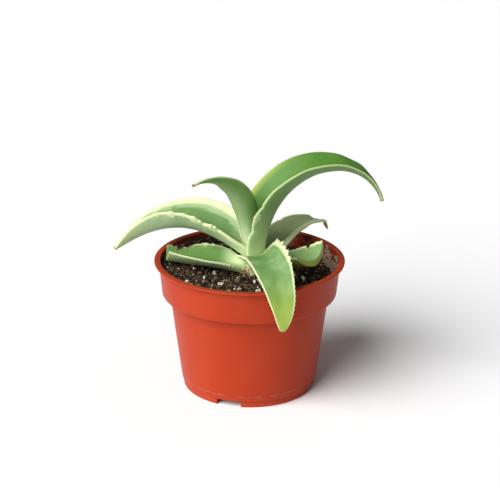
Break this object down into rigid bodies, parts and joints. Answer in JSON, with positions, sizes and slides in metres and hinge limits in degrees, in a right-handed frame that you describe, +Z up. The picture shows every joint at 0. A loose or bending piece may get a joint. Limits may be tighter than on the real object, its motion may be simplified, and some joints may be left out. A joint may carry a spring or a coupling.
{
  "type": "potted agave",
  "caption": "Young variegated agave with arching, cut and drooping leaves, rooted in potting mix in a round plastic nursery pot that stands flat.",
  "frame": {"origin": "centre of the pot's foot, on the surface that the pot stands on", "axes": "+X along the long right-hand leaf, -Y towards the leaf that hangs over the rim, +Z up the pot's axis"},
  "size_m": [0.2179, 0.1654, 0.1863],
  "materials": {
    "pot_plastic": "satin",
    "potting_mix": "matte",
    "stem": "matte",
    "leaf": "satin",
    "leaf_shaded": "satin",
    "dead_leaf": "matte",
    "root": "matte",
    "perlite": "matte",
    "bark": "matte"
  },
  "bodies": {
    "root": {"pot": "pot_plastic", "potting_mix": "potting_mix", "stem": "stem", "centre_leaf": "leaf", "heart_leaf": "leaf", "right_arching_leaf": "leaf", "left_arching_leaf": "leaf", "front_drooping_leaf": "leaf", "cut_left_leaf": "leaf", "cut_right_leaf": "leaf", "back_right_leaf": "leaf_shaded", "old_leaf_base": "dead_leaf", "dry_leaf_scale": "dead_leaf", "root_1": "root", "root_2": "root", "root_3": "root", "root_4": "root", "root_5": "root", "root_6": "root", "perlite_1": "perlite", "perlite_2": "perlite", "perlite_3": "perlite", "perlite_4": "perlite", "perlite_5": "perlite", "perlite_6": "perlite", "perlite_7": "perlite", "perlite_8": "perlite", "perlite_9": "perlite", "perlite_10": "perlite", "perlite_11": "perlite", "bark_chip_1": "bark", "bark_chip_2": "bark", "bark_chip_3": "bark", "bark_chip_4": "bark", "bark_chip_5": "bark", "bark_chip_6": "bark", "bark_chip_7": "bark", "bark_chip_8": "bark", "bark_chip_9": "bark"}
  },
  "joints": []
}
